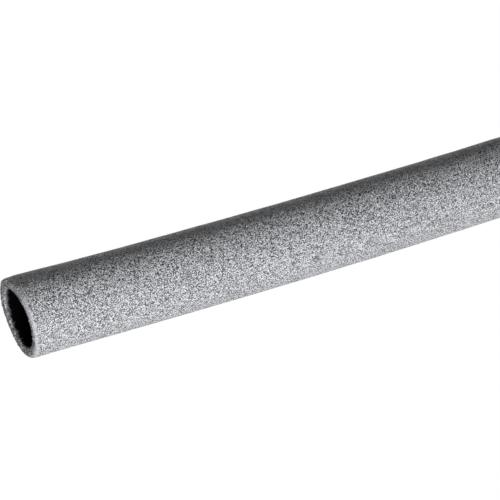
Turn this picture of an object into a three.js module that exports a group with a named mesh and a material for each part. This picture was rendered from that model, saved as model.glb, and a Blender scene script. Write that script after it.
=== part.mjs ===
// Pipe insulation lagging: one sales length of extruded polyethylene foam tube.
// Millimetres, +Z up. The tube lies on the plane Z = 0 with its straight stretch along +X.
// Its near end, at -X, keeps a slight sideways bow and was cut a little out of square.
// The origin is under the middle of the tube, on the surface that it lies on.
import * as THREE from 'three';

// Driving sizes
const length = 1000; // along the centreline, as sold
const boreDiameter = 22; // the copper pipe that it slides over
const wall = 4;
const outerEdgeRadius = 1; // soft foam rounds over where the blade went in
const innerEdgeRadius = 0.6;

// Bow of the near end, in the plane of the floor
const bowRadius = 2850;
const bowLength = 220;

// Cut of the near end: how far its plane leans out of square, towards +Y and towards +Z
const leanSideways = THREE.MathUtils.degToRad(-3);
const leanUpwards = THREE.MathUtils.degToRad(-3.6);
const leanReach = 40; // from the cut to the first section that is square again

// Fineness of the faceted surface
const facets = 48; // around the tube, with one flat face at the very bottom
const edgeSteps = 3; // along each rounded edge
const bowSteps = 11;
const straightSteps = 6;

const boreRadius = boreDiameter / 2;
const skinRadius = boreRadius + wall;
// Corners stand out so that the flats between them lie on the true diameters
const cornerScale = 1 / Math.cos(Math.PI / facets);

// Stations from the first rounded edge to the last: close together in the bow, further apart after it
function stationsBetween(first, last) {
  const stations = [first, leanReach];
  for (let i = 1; i <= bowSteps; i++) {
    const station = (bowLength * i) / bowSteps;
    if (station > leanReach) stations.push(station);
  }
  for (let i = 1; i < straightSteps; i++) {
    stations.push(bowLength + ((last - bowLength) * i) / straightSteps);
  }
  stations.push(last);
  return stations;
}

// A quarter-round edge, as points of radius and station, from angle start to angle end
function roundedEdge(radius, station, edgeRadius, start, end) {
  const points = [];
  for (let i = 0; i <= edgeSteps; i++) {
    const angle = start + ((end - start) * i) / edgeSteps;
    points.push([radius + edgeRadius * Math.cos(angle), station + edgeRadius * Math.sin(angle)]);
  }
  return points;
}

// The wall's outline, once round: out along the skin, over the far cut, back along the bore, over the near cut
function wallOutline() {
  const quarter = Math.PI / 2;
  const skinInset = skinRadius - outerEdgeRadius;
  const boreInset = boreRadius + innerEdgeRadius;
  const skin = stationsBetween(outerEdgeRadius, length - outerEdgeRadius).slice(1, -1);
  const bore = stationsBetween(innerEdgeRadius, length - innerEdgeRadius).slice(1, -1).reverse();
  const outline = [
    ...roundedEdge(skinInset, outerEdgeRadius, outerEdgeRadius, -quarter, 0),
    ...skin.map((station) => [skinRadius, station]),
    ...roundedEdge(skinInset, length - outerEdgeRadius, outerEdgeRadius, 0, quarter),
    ...roundedEdge(boreInset, length - innerEdgeRadius, innerEdgeRadius, quarter, 2 * quarter),
    ...bore.map((station) => [boreRadius, station]),
    ...roundedEdge(boreInset, innerEdgeRadius, innerEdgeRadius, 2 * quarter, 3 * quarter),
  ];
  outline.push(outline[0]);
  return outline.map(([radius, station]) => new THREE.Vector2(radius * cornerScale, station));
}

// Leans the near cut: the shift is whole at the cut and fades to nothing at leanReach
function leanNearCut(point) {
  const share = Math.max(0, 1 - point.x / leanReach);
  point.x += share * (point.y * Math.tan(leanSideways) + point.z * Math.tan(leanUpwards));
}

// Carries a point of the straight tube onto the bowed centreline, which turns towards +Y at the near end
function bowNearEnd(point) {
  const turn = (bowLength - point.x) / bowRadius;
  if (turn <= 0) return;
  const reach = bowRadius - point.y;
  point.x = bowLength - reach * Math.sin(turn);
  point.y = bowRadius - reach * Math.cos(turn);
}

function foamTubeGeometry() {
  const halfFacet = Math.PI / facets;
  const geometry = new THREE.LatheGeometry(wallOutline(), facets, halfFacet);
  geometry.rotateZ(-Math.PI / 2);
  const positions = geometry.getAttribute('position');
  const point = new THREE.Vector3();
  for (let i = 0; i < positions.count; i++) {
    point.fromBufferAttribute(positions, i);
    leanNearCut(point);
    bowNearEnd(point);
    positions.setXYZ(i, point.x, point.y, point.z);
  }
  geometry.computeVertexNormals();
  return geometry;
}

const foam = new THREE.MeshStandardMaterial({ color: 0x9a9c9f, roughness: 0.55, metalness: 0 });
const foamTube = new THREE.Mesh(foamTubeGeometry(), foam);
foamTube.name = 'foam_tube';

// Bottom centre of the tube's box to the origin
const box = new THREE.Box3().setFromObject(foamTube);
const middle = box.getCenter(new THREE.Vector3());
foamTube.position.set(-middle.x, -middle.y, -box.min.z);

const lagging = new THREE.Group();
lagging.add(foamTube);

export default lagging;
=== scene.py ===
# %% [markdown]
# # Pipe insulation lagging
# A length of grey foam tube lies on a pale floor, the way plumbers buy it to slide over heating pipes.
# It is one soft piece with three finishes: a pebbled skin, an open-celled cut at each end and a bore whose
# dark is painted shade.
# The imported part gives its size and place, and this lesson builds the foam around those numbers.

# %% Load the imported part
import math

import bpy
from mathutils import Matrix, Vector


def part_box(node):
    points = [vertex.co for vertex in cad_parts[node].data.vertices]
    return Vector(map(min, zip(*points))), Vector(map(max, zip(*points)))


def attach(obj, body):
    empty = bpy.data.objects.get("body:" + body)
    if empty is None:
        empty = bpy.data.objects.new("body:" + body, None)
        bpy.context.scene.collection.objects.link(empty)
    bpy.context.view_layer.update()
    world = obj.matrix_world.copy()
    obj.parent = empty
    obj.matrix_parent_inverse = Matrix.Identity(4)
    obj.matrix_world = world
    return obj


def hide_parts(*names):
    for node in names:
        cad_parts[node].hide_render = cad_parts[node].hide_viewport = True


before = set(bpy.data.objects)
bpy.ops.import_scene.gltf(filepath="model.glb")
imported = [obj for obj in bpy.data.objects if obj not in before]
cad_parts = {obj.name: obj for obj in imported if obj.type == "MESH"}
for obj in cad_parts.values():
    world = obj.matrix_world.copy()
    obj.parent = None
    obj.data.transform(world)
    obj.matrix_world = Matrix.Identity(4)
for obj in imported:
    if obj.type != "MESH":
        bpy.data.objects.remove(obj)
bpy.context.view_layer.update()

# %% [markdown]
# ## Sizes
# The tube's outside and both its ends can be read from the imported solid.
# The bore, the rounded edges, the slant of the near cut and the bow can't be read from a box, so they
# are stated here with the values that the solid was made from.

# %% Sizes of the tube
MM = 0.001
low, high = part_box("foam_tube")
skin_radius = (high[2] - low[2]) / 2
bore_radius = 11 * MM
length = 1000 * MM
outer_edge = 1.0 * MM
inner_edge = 0.6 * MM
bow_radius = 2850 * MM
bow_length = 220 * MM
lean_reach = 40 * MM
lean = Vector((0, math.tan(math.radians(-3)), math.tan(math.radians(-3.6))))
tube_place = Vector((high[0] - length, low[1] + skin_radius, low[2] + skin_radius))
print(f"outside {2 * skin_radius / MM:.1f} mm, wall {(skin_radius - bore_radius) / MM:.1f} mm")

# %% [markdown]
# ## The wall, ring by ring
# A foam tube is pushed through a round die, so it is one outline carried round an axis.
# A Spin or a Curve would make it with the same fineness everywhere, but the eye comes close to the near
# cut only. So the wall is laid out as rings of points: hundreds of points to a ring at the near cut, where
# open cells are modelled, and fewer along the plain skin and deep in the bore. Where two rings differ,
# the finer one has just twice the points, and three triangles close each step.

# %% A ring of the wall, and runs of rings
rings = []


def lay_ring(station, radius, around, finish):
    """Adds one ring; the faces from it to the next ring get its finish."""
    rings.append({"station": station, "radius": radius, "around": around, "finish": finish})


def even_steps(start, stop, pitch):
    """Places from start up to, and without, stop."""
    count = max(1, round(abs(stop - start) / pitch))
    return [start + (stop - start) * i / count for i in range(count)]


def lay_run(start, stop, pitch, radius, around, finish):
    for station in even_steps(start, stop, pitch):
        lay_ring(station, radius, around, finish)


def lay_face(start, stop, pitch, station, around, finish):
    for radius in even_steps(start, stop, pitch):
        lay_ring(station, radius, around, finish)


def lay_edge(station, radius, edge, start, pitch, around, finish):
    """A quarter of a round edge, about the point (station, radius), from the angle start."""
    for angle in even_steps(0, math.pi / 2, pitch / edge):
        turned = start + angle
        lay_ring(station + edge * math.sin(turned), radius + edge * math.cos(turned), around, finish)


# %% [markdown]
# ## Round the outline
# The outline goes round once: over the near outer edge, along the skin, over the far cut, back through
# the bore and over the near cut to where it began. Each finish is noted on the way.

# %% Lay the rings in order
SKIN, CUT, BORE = 0, 1, 2
QUARTER = math.pi / 2
FINE, MIDDLE, PLAIN, SPARSE = 384, 192, 96, 48
skin_fine_to, skin_middle_to = 4 * MM, 12 * MM
bore_fine_to, bore_middle_to, bore_plain_to = 9 * MM, 16 * MM, 24 * MM
far_middle_from, far_plain_from = length - 8 * MM, length - 16 * MM

lay_edge(outer_edge, skin_radius - outer_edge, outer_edge, -QUARTER, 0.2 * MM, FINE, SKIN)
lay_run(outer_edge, skin_fine_to, 0.35 * MM, skin_radius, FINE, SKIN)
lay_run(skin_fine_to, skin_middle_to, 0.7 * MM, skin_radius, MIDDLE, SKIN)
lay_run(skin_middle_to, far_middle_from, 1.8 * MM, skin_radius, PLAIN, SKIN)
lay_run(far_middle_from, length - outer_edge, 0.8 * MM, skin_radius, MIDDLE, SKIN)
lay_edge(length - outer_edge, skin_radius - outer_edge, outer_edge, 0, 0.3 * MM, MIDDLE, SKIN)
lay_face(skin_radius - outer_edge, bore_radius + inner_edge, 0.35 * MM, length, MIDDLE, CUT)
lay_edge(length - inner_edge, bore_radius + inner_edge, inner_edge, QUARTER, 0.25 * MM, MIDDLE, CUT)
lay_run(length - inner_edge, far_middle_from, 0.6 * MM, bore_radius, MIDDLE, BORE)
lay_run(far_middle_from, far_plain_from, 2 * MM, bore_radius, PLAIN, BORE)
lay_run(far_plain_from, bore_plain_to, 5 * MM, bore_radius, SPARSE, BORE)
lay_run(bore_plain_to, bore_middle_to, 2 * MM, bore_radius, PLAIN, BORE)
lay_run(bore_middle_to, bore_fine_to, 0.7 * MM, bore_radius, MIDDLE, BORE)
lay_run(bore_fine_to, inner_edge, 0.28 * MM, bore_radius, FINE, BORE)
lay_edge(inner_edge, bore_radius + inner_edge, inner_edge, 2 * QUARTER, 0.15 * MM, FINE, CUT)
lay_face(bore_radius + inner_edge, skin_radius - outer_edge, 0.18 * MM, 0, FINE, CUT)
print(len(rings), "rings,", sum(ring["around"] for ring in rings), "points")

# %% [markdown]
# ## Close the rings into one mesh
# The points of each ring start at the same angle, so every second point of a fine ring lies where a
# coarser ring has one. Each point also keeps how deep it lies behind the nearest cut: the cells, the
# teeth at the bore's mouth and the painted shade of the bore all follow that depth.

# %% Join two rings
def join_rings(near, far):
    """Faces between two rings, given as lists of point numbers round the tube."""
    faces = []
    if len(near) == len(far):
        for i in range(len(near)):
            j = (i + 1) % len(near)
            faces.append((near[i], near[j], far[j], far[i]))
    elif len(near) == 2 * len(far):
        for i in range(len(far)):
            j = (i + 1) % len(far)
            first, middle, last = near[2 * i], near[2 * i + 1], near[2 * j]
            faces += [(first, middle, far[i]), (middle, far[j], far[i]), (middle, last, far[j])]
    elif 2 * len(near) == len(far):
        faces = [tuple(reversed(face)) for face in join_rings(far, near)]
    else:
        raise ValueError("neighbouring rings differ by more than twice the points")
    return faces


# %% Build the straight tube
def straight_tube(name):
    points, faces, finishes, depths, numbered = [], [], [], [], []
    for ring in rings:
        numbered.append(list(range(len(points), len(points) + ring["around"])))
        for i in range(ring["around"]):
            angle = 2 * math.pi * i / ring["around"]
            sideways, upwards = ring["radius"] * math.cos(angle), ring["radius"] * math.sin(angle)
            points.append((ring["station"], sideways, upwards))
            depths.append(min(ring["station"], length - ring["station"]))
    for k, ring in enumerate(rings):
        new_faces = join_rings(numbered[k], numbered[(k + 1) % len(rings)])
        faces += new_faces
        finishes += [ring["finish"]] * len(new_faces)
    mesh = bpy.data.meshes.new(name)
    mesh.from_pydata(points, [], faces)
    mesh.attributes.new("depth", "FLOAT", "POINT").data.foreach_set("value", depths)
    mesh.attributes.new("finish", "INT", "FACE").data.foreach_set("value", finishes)
    mesh.flip_normals()
    mesh.shade_smooth()
    return bpy.data.objects.new(name, mesh)


blank = straight_tube("straight_tube")
bpy.context.scene.collection.objects.link(blank)
print(len(blank.data.polygons), "faces before the cells are raised")

# %% [markdown]
# ## One helper for every node
# Both the shape and the finishes are node trees. This function adds a node, sets what is the node's own,
# and fills its sockets: another node's output is linked, and any other value is written in.

# %% Add a node
def add(tree, kind, settings=None, sockets=None):
    node = tree.nodes.new(kind)
    for name, value in (settings or {}).items():
        setattr(node, name, value)
    for name, value in (sockets or {}).items():
        if isinstance(value, bpy.types.NodeSocket):
            tree.links.new(value, node.inputs[name])
        else:
            node.inputs[name].default_value = value
    return node


def hex_colour(code):
    """An sRGB hex colour as the linear colour that a shader works in."""
    channels = [int(code[i:i + 2], 16) / 255 for i in (0, 2, 4)]
    linear = [c / 12.92 if c <= 0.04045 else ((c + 0.055) / 1.055) ** 2.4 for c in channels]
    return (*linear, 1.0)


# %% [markdown]
# ## The pebbled skin
# The skin is closed-cell polyethylene foam that set against cool air: thousands of gas cells press on
# a thin, slightly waxy film from below and leave it pebbled. The eye gets salt and pepper, light pebbles
# less than half a millimetre across with shade in the gaps between them, painted dark into the colour, and
# each pebble faces its own way a little. A noise would give soft worms of light. Voronoi cells are the
# pebbles themselves: the distance from a cell's middle gives the dome and the painted gap shade, and the
# cell's own colour gives the way that it faces. The pebbles are too fine for a mesh of a metre of tube, so
# they are bump, at their real size. Where the knife dragged over the lip of the near cut, the pebbles are
# smeared smooth, and the lip is painted darker as shade that holds back its highlight.

# %% The way a foam cell faces
def facing(tree, cells, bump, strength):
    """The bumped normal, turned a little for each cell by the cell's own colour."""
    own_way = add(tree, "ShaderNodeVectorMath", {"operation": "SUBTRACT"},
                  {0: cells.outputs["Color"], 1: (0.5, 0.5, 0.5)})
    turn = add(tree, "ShaderNodeVectorMath", {"operation": "SCALE"},
               {0: own_way.outputs["Vector"], "Scale": strength})
    turned = add(tree, "ShaderNodeVectorMath", {"operation": "ADD"},
                 {0: bump.outputs["Normal"], 1: turn.outputs["Vector"]})
    unit = add(tree, "ShaderNodeVectorMath", {"operation": "NORMALIZE"}, {0: turned.outputs["Vector"]})
    return unit.outputs["Vector"]


# %% Size of a pebble, where its painted gap shade begins and its dome ends, and how far it turns, plain and smeared
pebble, pebble_height = 0.38 * MM, 0.3 * MM
gap_shade_from, dome_to = 0.35, 0.65
turn_plain, turn_smeared = 1.2, 0.5
relief_smeared = 0.3
print(f"pebbles {pebble / MM:.2f} mm across and {pebble_height / MM:.2f} mm high")


# %% Polyethylene foam skin: waxy enough for a broad soft highlight, never a sharp one
def foam_skin():
    material = bpy.data.materials.new("polyethylene_foam_skin")
    material.use_nodes = True
    tree = material.node_tree
    shader = tree.nodes["Principled BSDF"]
    place = add(tree, "ShaderNodeTexCoord").outputs["Object"]
    lip = add(tree, "ShaderNodeAttribute", {"attribute_name": "lip"}).outputs["Fac"]
    pebbles = add(tree, "ShaderNodeTexVoronoi", {"feature": "F1"},
                  {"Vector": place, "Scale": 1 / pebble})
    domes = add(tree, "ShaderNodeMapRange", {"interpolation_type": "SMOOTHSTEP"},
                {"Value": pebbles.outputs["Distance"], "From Min": 0.0, "From Max": dome_to,
                 "To Min": 1.0, "To Max": 0.0})
    gaps = add(tree, "ShaderNodeMapRange", {"interpolation_type": "SMOOTHSTEP"},
               {"Value": pebbles.outputs["Distance"], "From Min": gap_shade_from, "From Max": dome_to})
    relief = add(tree, "ShaderNodeMapRange", None, {"Value": lip, "To Min": 1.0, "To Max": relief_smeared})
    bump = add(tree, "ShaderNodeBump", None,
               {"Height": domes.outputs["Result"], "Strength": relief.outputs["Result"],
                "Distance": pebble_height})
    turn = add(tree, "ShaderNodeMapRange", None,
               {"Value": lip, "To Min": turn_plain, "To Max": turn_smeared})
    painted_gap_shade = add(tree, "ShaderNodeMath", {"operation": "MULTIPLY"},
                    {0: gaps.outputs["Result"], 1: relief.outputs["Result"]})
    # Painted shade: near black in the gaps between the pebbles, fading where the lip is smeared.
    tint = add(tree, "ShaderNodeMix", {"data_type": "RGBA"},
               {"Factor": painted_gap_shade.outputs["Value"], 6: hex_colour("A9ABAE"), 7: hex_colour("2C2D30")})
    # Painted shade: the smeared lip on the lit near side is coloured darker to hold back its highlight.
    tint = add(tree, "ShaderNodeMix", {"data_type": "RGBA"},
               {"Factor": lip, 6: tint.outputs[2], 7: hex_colour("5A5B5E")})
    tree.links.new(tint.outputs[2], shader.inputs["Base Color"])
    tree.links.new(facing(tree, pebbles, bump, turn.outputs["Result"]), shader.inputs["Normal"])
    shader.inputs["Roughness"].default_value = 0.55
    shader.inputs["Specular IOR Level"].default_value = 0.35
    shader.inputs["IOR"].default_value = 1.51
    return material


# %% [markdown]
# ## The cut face
# The blade opened the cells, so the cut is a sponge of tiny pits with thin walls between them. It has no
# film, and light that falls into the pits is lost, so the pits are painted black as shade: the cut is duller
# and darker than the skin.

# %% Cut polyethylene foam: matt, with pits painted black as shade and light walls
pit, pit_depth = 0.6 * MM, 0.2 * MM
wall_from, wall_to = 0.3, 0.65
print(f"open cells {pit / MM:.1f} mm across")


def cut_foam():
    material = bpy.data.materials.new("cut_polyethylene_foam")
    material.use_nodes = True
    tree = material.node_tree
    shader = tree.nodes["Principled BSDF"]
    place = add(tree, "ShaderNodeTexCoord").outputs["Object"]
    pits = add(tree, "ShaderNodeTexVoronoi", {"feature": "F1"}, {"Vector": place, "Scale": 1 / pit})
    walls = add(tree, "ShaderNodeMapRange", {"interpolation_type": "SMOOTHSTEP"},
                {"Value": pits.outputs["Distance"], "From Min": wall_from, "From Max": wall_to})
    # Painted shade: near black in the pits, the foam's grey on the walls between them.
    tint = add(tree, "ShaderNodeMix", {"data_type": "RGBA"},
               {"Factor": walls.outputs["Result"], 6: hex_colour("08090A"), 7: hex_colour("7A7B7E")})
    bump = add(tree, "ShaderNodeBump", None,
               {"Height": walls.outputs["Result"], "Strength": 1.0, "Distance": pit_depth})
    tree.links.new(tint.outputs[2], shader.inputs["Base Color"])
    tree.links.new(facing(tree, pits, bump, 1.0), shader.inputs["Normal"])
    shader.inputs["Roughness"].default_value = 0.8
    shader.inputs["IOR"].default_value = 1.51
    return material


# %% [markdown]
# ## The bore
# Inside, the foam shows the same grey for a millimetre or two and then falls into the dark.
# A metre of narrow tube swallows nearly all light, and that shade is painted into the colour:
# it runs down to black with the depth behind the cut.

# %% Bore of the foam: grey at its mouth, then painted black as shade, along a ragged line
streak, ragged_by = 1.0 * MM, 2.4 * MM
painted_shade_from, painted_shade_to = 1.4 * MM, 3.0 * MM
print(f"the bore is black from about {(painted_shade_to - ragged_by / 2) / MM:.1f} mm behind the cut")


def foam_bore():
    material = bpy.data.materials.new("polyethylene_foam_bore_painted_shade")
    material.use_nodes = True
    tree = material.node_tree
    shader = tree.nodes["Principled BSDF"]
    place = add(tree, "ShaderNodeTexCoord").outputs["Object"]
    depth = add(tree, "ShaderNodeAttribute", {"attribute_name": "depth"}).outputs["Fac"]
    streaks = add(tree, "ShaderNodeTexNoise", None, {"Vector": place, "Scale": 1 / streak, "Detail": 1.0})
    ragged = add(tree, "ShaderNodeMath", {"operation": "MULTIPLY_ADD"},
                 {0: streaks.outputs["Fac"], 1: ragged_by, 2: depth})
    dark = add(tree, "ShaderNodeMapRange", {"interpolation_type": "SMOOTHSTEP"},
               {"Value": ragged.outputs["Value"], "From Min": painted_shade_from, "From Max": painted_shade_to})
    # Painted shade: the grey of the bore darkens to near black with the depth behind the cut.
    tint = add(tree, "ShaderNodeMix", {"data_type": "RGBA"},
               {"Factor": dark.outputs["Result"], 6: hex_colour("525356"), 7: hex_colour("030303")})
    tree.links.new(tint.outputs[2], shader.inputs["Base Color"])
    shader.inputs["Roughness"].default_value = 0.9
    shader.inputs["Specular IOR Level"].default_value = 0.0
    return material


skin_finish = foam_skin()
cut_finish = cut_foam()
bore_finish = foam_bore()
print("finishes:", skin_finish.name, cut_finish.name, bore_finish.name)

# %% [markdown]
# ## A node tree that turns the blank into foam
# The real tube left the die straight, was cut with a knife that leaned a little, and took a bow from the
# coil or the shelf it lay on. The tree works in that order. It lets the skin wave very slightly, opens the
# cells of the cuts and tears small teeth along the bore's mouth. Then come the marks of the knife: the end
# springs outwards a little, its top edge is pressed down, the lip is smeared and the wall's inner rim is
# drawn in. Last it leans the near cut and bows the near end.
# All this could be sculpted by hand, but fields of the depth behind the cut say where each mark fades out.
# Every size is a named input, and one seed moves all the chance patterns at once.

# %% The tree and its inputs
tree = bpy.data.node_groups.new("foam_lagging", "GeometryNodeTree")
tree.is_modifier = True
tree.interface.new_socket("Geometry", in_out="INPUT", socket_type="NodeSocketGeometry")
tree.interface.new_socket("Geometry", in_out="OUTPUT", socket_type="NodeSocketGeometry")

lagging_inputs = {
    "Seed": 7.0,
    "Wave size": 14 * MM,
    "Wave height": 0.16 * MM,
    "Flare": 0.28 * MM,
    "Flare reach": 28 * MM,
    "Press": 0.5 * MM,
    "Press reach": 5 * MM,
    "Cell size": 0.85 * MM,
    "Cell depth": 0.3 * MM,
    "Cell reach": 0.8 * MM,
    "Tooth size": 0.75 * MM,
    "Tooth height": 0.6 * MM,
    "Tooth reach": 6 * MM,
    "Smear reach": 1.6 * MM,
    "Draw-in": 0.5 * MM,
    "Draw-in reach": 5 * MM,
    "Lean": lean,
    "Lean reach": lean_reach,
    "Bow radius": bow_radius,
    "Bow length": bow_length,
    "Place": tube_place,
    "Skin finish": skin_finish,
    "Cut finish": cut_finish,
    "Bore finish": bore_finish,
}
socket_kinds = {float: "NodeSocketFloat", Vector: "NodeSocketVector",
                bpy.types.Material: "NodeSocketMaterial"}
input_ids = {}
for name, value in lagging_inputs.items():
    socket = tree.interface.new_socket(name, in_out="INPUT", socket_type=socket_kinds[type(value)])
    input_ids[name] = socket.identifier
given = add(tree, "NodeGroupInput").outputs
print(len(input_ids), "named inputs")


def in_mm(name):
    """The size of a named input, to print."""
    return f"{lagging_inputs[name] / MM:.2f} mm"


# %% Where each point is, which way it faces, how deep it lies and which finish it has
place = add(tree, "GeometryNodeInputPosition").outputs["Position"]
normal = add(tree, "GeometryNodeInputNormal").outputs["Normal"]
depth = add(tree, "GeometryNodeInputNamedAttribute", {"data_type": "FLOAT"}, {"Name": "depth"})
depth = depth.outputs["Attribute"]
finish = add(tree, "GeometryNodeInputNamedAttribute", {"data_type": "INT"}, {"Name": "finish"})
finish = finish.outputs["Attribute"]


# %% Four small helpers for the fields
def per_metre(size):
    """How many of a size go into a metre, which is what a texture calls its scale."""
    return add(tree, "ShaderNodeMath", {"operation": "DIVIDE"}, {0: 1.0, 1: size}).outputs["Value"]


def share(value, full, none):
    """1 where the value is at full, 0 where it is at none, and a soft step between them."""
    step = add(tree, "ShaderNodeMapRange", {"interpolation_type": "SMOOTHSTEP"},
               {"Value": value, "From Min": full, "From Max": none, "To Min": 1.0, "To Max": 0.0})
    return step.outputs["Result"]


def product(*factors):
    """The factors multiplied with one another, point by point."""
    result = factors[0]
    for factor in factors[1:]:
        times = add(tree, "ShaderNodeMath", {"operation": "MULTIPLY"}, {0: result, 1: factor})
        result = times.outputs["Value"]
    return result


def moved(geometry, along_x=0.0, along_z=0.0):
    """The geometry with each point moved by a field along X, along Z or both."""
    offset = add(tree, "ShaderNodeCombineXYZ", None, {"X": along_x, "Z": along_z}).outputs["Vector"]
    after = add(tree, "GeometryNodeSetPosition", None, {"Geometry": geometry, "Offset": offset})
    return after.outputs["Geometry"]


# %% Slow waves of the skin
waves = add(tree, "ShaderNodeTexNoise", {"noise_dimensions": "4D"},
            {"Vector": place, "W": given["Seed"], "Scale": per_metre(given["Wave size"]), "Detail": 2.0})
wave_rise = add(tree, "ShaderNodeMapRange", None,
                {"Value": waves.outputs["Fac"], "From Min": 0.25, "From Max": 0.75,
                 "To Min": product(given["Wave height"], -0.5), "To Max": product(given["Wave height"], 0.5)})
print("waves", in_mm("Wave size"), "long and", in_mm("Wave height"), "high")

# %% Opened cells, on and just behind the cuts
cells = add(tree, "ShaderNodeTexVoronoi", {"voronoi_dimensions": "4D", "feature": "F1"},
            {"Vector": place, "W": given["Seed"], "Scale": per_metre(given["Cell size"])})
cell_pit = add(tree, "ShaderNodeMapRange", {"interpolation_type": "SMOOTHSTEP"},
               {"Value": cells.outputs["Distance"], "From Min": 0.15, "From Max": 0.65,
                "To Min": -1.0, "To Max": 0.0})
cell_rise = product(cell_pit.outputs["Result"], given["Cell depth"], share(depth, 0.0, given["Cell reach"]))
print("cells", in_mm("Cell size"), "across and", in_mm("Cell depth"), "deep")

# %% Shares of the near cut: how far out from the axis, how near to the eye's side, how close to the cut
across = add(tree, "ShaderNodeVectorMath", {"operation": "MULTIPLY"}, {0: place, 1: (0.0, 1.0, 1.0)})
from_axis = add(tree, "ShaderNodeVectorMath", {"operation": "LENGTH"}, {0: across.outputs["Vector"]})
split = add(tree, "ShaderNodeSeparateXYZ", None, {"Vector": place})
near_side_from, near_side_to = -8 * MM, 2 * MM
near_side = share(split.outputs["Y"], near_side_from, near_side_to)

# %% Mark the lip, where the blade smeared the skin smooth and the skin's colour is darkened as painted shade
on_skin = share(from_axis.outputs["Value"], skin_radius, skin_radius - outer_edge)
lip = product(on_skin, near_side, share(split.outputs["X"], 0.0, given["Smear reach"]))
marked = add(tree, "GeometryNodeStoreNamedAttribute", {"data_type": "FLOAT", "domain": "POINT"},
             {"Geometry": given["Geometry"], "Name": "lip", "Value": lip})
print("the lip is smeared over", in_mm("Smear reach"))

# %% Teeth run along the bore, so their pattern is stretched along X
tooth_stretch = 0.22
along = add(tree, "ShaderNodeVectorMath", {"operation": "MULTIPLY"},
            {0: place, 1: (tooth_stretch, 1.0, 1.0)})
teeth = add(tree, "ShaderNodeTexNoise", {"noise_dimensions": "4D"},
            {"Vector": along.outputs["Vector"], "W": given["Seed"], "Scale": per_metre(given["Tooth size"]),
             "Detail": 1.0})
in_bore = add(tree, "FunctionNodeCompare", {"data_type": "INT", "operation": "EQUAL"}, {2: finish, 3: BORE})
tooth_rise = add(tree, "ShaderNodeMath", {"operation": "SUBTRACT"}, {0: teeth.outputs["Fac"], 1: 0.5})
tooth_rise = product(tooth_rise.outputs["Value"], given["Tooth height"], in_bore.outputs["Result"],
                     share(depth, 0.0, given["Tooth reach"]))
print("teeth", in_mm("Tooth size"), "wide over", in_mm("Tooth reach"))

# %% Move each point along its normal
rise = wave_rise.outputs["Result"]
for part in (cell_rise, tooth_rise):
    rise = add(tree, "ShaderNodeMath", {"operation": "ADD"}, {0: rise, 1: part}).outputs["Value"]
lift = add(tree, "ShaderNodeVectorMath", {"operation": "SCALE"}, {0: normal, "Scale": rise})
raised = add(tree, "GeometryNodeSetPosition", None,
             {"Geometry": marked.outputs["Geometry"], "Offset": lift.outputs["Vector"]})

# %% Flare the ends: freed by the knife, the foam springs outwards a little
flare = product(given["Flare"], share(depth, 0.0, given["Flare reach"]))
outwards = add(tree, "ShaderNodeVectorMath", {"operation": "NORMALIZE"}, {0: across.outputs["Vector"]})
outwards = add(tree, "ShaderNodeVectorMath", {"operation": "SCALE"},
               {0: outwards.outputs["Vector"], "Scale": flare})
flared = add(tree, "GeometryNodeSetPosition", None,
             {"Geometry": raised.outputs["Geometry"], "Offset": outwards.outputs["Vector"]})
print("the ends flare by", in_mm("Flare"))

# %% Press the top edge of both ends down a little, where the blade came in
pressed_down_to = 5 * MM
above = share(split.outputs["Z"], skin_radius, pressed_down_to)
press = product(given["Press"], share(depth, 0.0, given["Press reach"]), above, -1.0)
pressed = moved(flared.outputs["Geometry"], along_z=press)
print("the top edge is pressed down by", in_mm("Press"))

# %% Draw the inner rim of the near cut in, where the blade left the wall
inside = share(from_axis.outputs["Value"], bore_radius, skin_radius - outer_edge)
draw_in = product(inside, near_side, share(split.outputs["X"], 0.0, given["Draw-in reach"]), given["Draw-in"])
drawn = moved(pressed, along_x=draw_in)
print("the inner rim is drawn in by", in_mm("Draw-in"))

# %% Lean the near cut
slant = add(tree, "ShaderNodeVectorMath", {"operation": "DOT_PRODUCT"}, {0: place, 1: given["Lean"]})
slant_share = add(tree, "ShaderNodeMapRange", None,
                  {"Value": split.outputs["X"], "From Min": 0.0, "From Max": given["Lean reach"],
                   "To Min": 1.0, "To Max": 0.0})
leaned = moved(drawn, along_x=product(slant.outputs["Value"], slant_share.outputs["Result"]))
print("the cut's lean fades out over", in_mm("Lean reach"))

# %% Bow the near end: the last stretch turns about a pivot far out at its side
before_bow = add(tree, "ShaderNodeMath", {"operation": "SUBTRACT"},
                 {0: split.outputs["X"], 1: given["Bow length"]})
bow_turn = add(tree, "ShaderNodeMath", {"operation": "DIVIDE"},
               {0: before_bow.outputs["Value"], 1: given["Bow radius"]})
bow_turn = add(tree, "ShaderNodeMath", {"operation": "MINIMUM"}, {0: bow_turn.outputs["Value"], 1: 0.0})
pivot = add(tree, "ShaderNodeCombineXYZ", None, {"X": given["Bow length"], "Y": given["Bow radius"]})
held = add(tree, "ShaderNodeMath", {"operation": "MAXIMUM"}, {0: split.outputs["X"], 1: given["Bow length"]})
unbent = add(tree, "ShaderNodeCombineXYZ", None,
             {"X": held.outputs["Value"], "Y": split.outputs["Y"], "Z": split.outputs["Z"]})
bent = add(tree, "ShaderNodeVectorRotate", {"rotation_type": "Z_AXIS"},
           {"Vector": unbent.outputs["Vector"], "Center": pivot.outputs["Vector"],
            "Angle": bow_turn.outputs["Value"]})
bowed = add(tree, "GeometryNodeSetPosition", None,
            {"Geometry": leaned, "Position": bent.outputs["Vector"], "Offset": given["Place"]})
print("the last", in_mm("Bow length"), "bow with a radius of", in_mm("Bow radius"))

# %% Finishes come last
whole = add(tree, "GeometryNodeRealizeInstances", None, {"Geometry": bowed.outputs["Geometry"]})
for number, name in ((SKIN, "Skin finish"), (CUT, "Cut finish"), (BORE, "Bore finish")):
    chosen = add(tree, "FunctionNodeCompare", {"data_type": "INT", "operation": "EQUAL"},
                 {2: finish, 3: number})
    whole = add(tree, "GeometryNodeSetMaterial", None,
                {"Geometry": whole.outputs["Geometry"], "Selection": chosen.outputs["Result"],
                 "Material": given[name]})
add(tree, "NodeGroupOutput", None, {"Geometry": whole.outputs["Geometry"]})
print(len(tree.nodes), "nodes in the foam tree")

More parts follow.
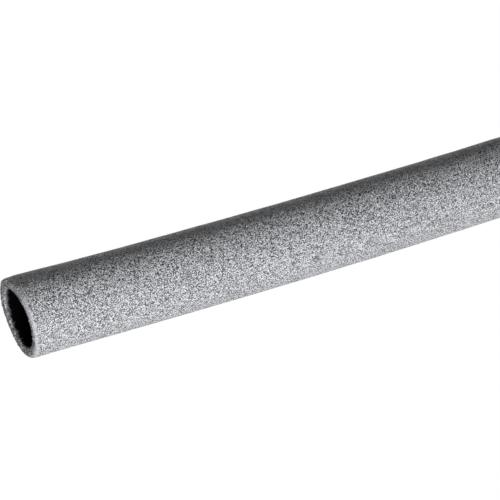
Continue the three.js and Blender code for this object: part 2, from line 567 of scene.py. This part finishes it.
# %% Run the tree and keep its result as a plain mesh
blank.data.materials.append(skin_finish)
modifier = blank.modifiers.new("foam", "NODES")
modifier.node_group = tree
for name, value in lagging_inputs.items():
    modifier[input_ids[name]] = value
evaluated = blank.evaluated_get(bpy.context.evaluated_depsgraph_get())
foam_mesh = bpy.data.meshes.new_from_object(evaluated)
foam_mesh.name = "foam_lagging"
lagging = bpy.data.objects.new("foam_lagging", foam_mesh)
bpy.context.scene.collection.objects.link(lagging)
bpy.data.objects.remove(blank)
foam_mesh.calc_loop_triangles()
print(len(foam_mesh.loop_triangles), "triangles,", [material.name for material in foam_mesh.materials])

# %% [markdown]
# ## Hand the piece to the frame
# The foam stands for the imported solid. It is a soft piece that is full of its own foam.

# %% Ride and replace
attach(lagging, "root")
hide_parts("foam_tube")
print(lagging.name, "stands for foam_tube")

# %% [markdown]
# ## Floor and light
# The tube lies on a white light table: the floor glows, so it fills the underside of the tube with light
# and leaves almost no shadow. Far out, its rim rises into a backdrop, so that a low view sees white too.
# One low softbox stands on the camera's side, a dim one stands low behind the tube, and nothing shines
# from above. That keeps the top of the tube dark, with the brightest band below its middle.
# A lamp overhead would be simpler, but it would turn the shading of the photograph upside down.

# %% A pale floor that glows, with a round rim like a backdrop
def pale_floor():
    """A disc of 20 m, whose rim curves up to a wall 3 m high."""
    reach, corner, height, around = 20.0, 2.0, 3.0, 96
    outline = [(reach - corner, 0.0)]
    outline += [(reach - corner + corner * math.sin(turn), corner - corner * math.cos(turn))
                for turn in (QUARTER * i / 12 for i in range(1, 13))]
    outline.append((reach, height))
    points = [(radius * math.cos(2 * math.pi * i / around), radius * math.sin(2 * math.pi * i / around), rise)
              for radius, rise in outline for i in range(around)]
    faces = [list(range(around))]
    for k in range(len(outline) - 1):
        for i in range(around):
            j = (i + 1) % around
            faces.append((k * around + i, k * around + j, (k + 1) * around + j, (k + 1) * around + i))
    mesh = bpy.data.meshes.new("floor")
    mesh.from_pydata(points, [], faces)
    floor = bpy.data.objects.new("floor", mesh)
    bpy.context.scene.collection.objects.link(floor)
    material = bpy.data.materials.new("white_light_table")
    material.use_nodes = True
    shader = material.node_tree.nodes["Principled BSDF"]
    shader.inputs["Base Color"].default_value = hex_colour("303030")
    shader.inputs["Roughness"].default_value = 0.9
    shader.inputs["Specular IOR Level"].default_value = 0.1
    shader.inputs["Emission Color"].default_value = hex_colour("FFFFFF")
    shader.inputs["Emission Strength"].default_value = 1.0
    floor.data.materials.append(material)
    return floor


floor = pale_floor()
print("floor of", len(floor.data.polygons), "faces")

# %% Where the near end stands
near_turn = bow_length / bow_radius
near_end = Vector((tube_place.x + bow_length - bow_radius * math.sin(near_turn),
                   tube_place.y + bow_radius * (1 - math.cos(near_turn)), 0))
end_frame = Matrix.Translation(near_end) @ Matrix.Rotation(-near_turn, 4, "Z")
print("near end at", [round(value / MM, 1) for value in near_end], "mm")

# %% A softbox, placed from the near end
def softbox(name, place, target, width, height, power):
    light = bpy.data.lights.new(name, "AREA")
    light.shape = "RECTANGLE"
    light.size = width
    light.size_y = height
    light.energy = power
    lamp = bpy.data.objects.new(name, light)
    bpy.context.scene.collection.objects.link(lamp)
    lamp.location = place
    lamp.rotation_euler = (target - place).to_track_quat("-Z", "Y").to_euler()
    return lamp


lit_middle = end_frame @ Vector((110 * MM, 0, skin_radius))
tube_middle = Vector((0, 0, skin_radius))
lamps = [softbox("front_softbox", end_frame @ Vector((-0.1, -1.02, 0.1)), lit_middle,
                 width=0.5, height=0.2, power=34),
         softbox("rear_softbox", Vector((0.1, 1.6, 0.12)), tube_middle, width=1.6, height=0.2, power=6.0)]
print([(lamp.name, lamp.data.energy) for lamp in lamps], "in watts")

# %% A dim, nearly white surround
world = bpy.data.worlds.new("studio")
world.use_nodes = True
world.node_tree.nodes["Background"].inputs["Color"].default_value = hex_colour("F4F5F7")
world.node_tree.nodes["Background"].inputs["Strength"].default_value = 0.02
bpy.context.scene.world = world
bpy.context.scene.view_settings.view_transform = "Standard"

# %% [markdown]
# ## Camera
# The view was worked out from the outline of the tube: a long lens, 34 degrees down, with the tube
# running away to the right. It is placed from the near end, as the light is.

# %% The long lens
camera_data = bpy.data.cameras.new("camera")
camera_data.sensor_width = 36
camera_data.lens = 180
camera = bpy.data.objects.new("camera", camera_data)
bpy.context.scene.collection.objects.link(camera)
yaw, pitch = math.radians(25.757), math.radians(33.646)
ahead = Vector((math.cos(pitch) * math.sin(yaw), math.cos(pitch) * math.cos(yaw), -math.sin(pitch)))
from_near_end = Vector((-242.3 * MM, -693.4 * MM, 530.0 * MM))
camera.location = end_frame @ from_near_end
camera.rotation_euler = (end_frame.to_3x3() @ ahead).to_track_quat("-Z", "Y").to_euler()
bpy.context.scene.camera = camera
print("camera at", [round(value, 3) for value in camera.location])
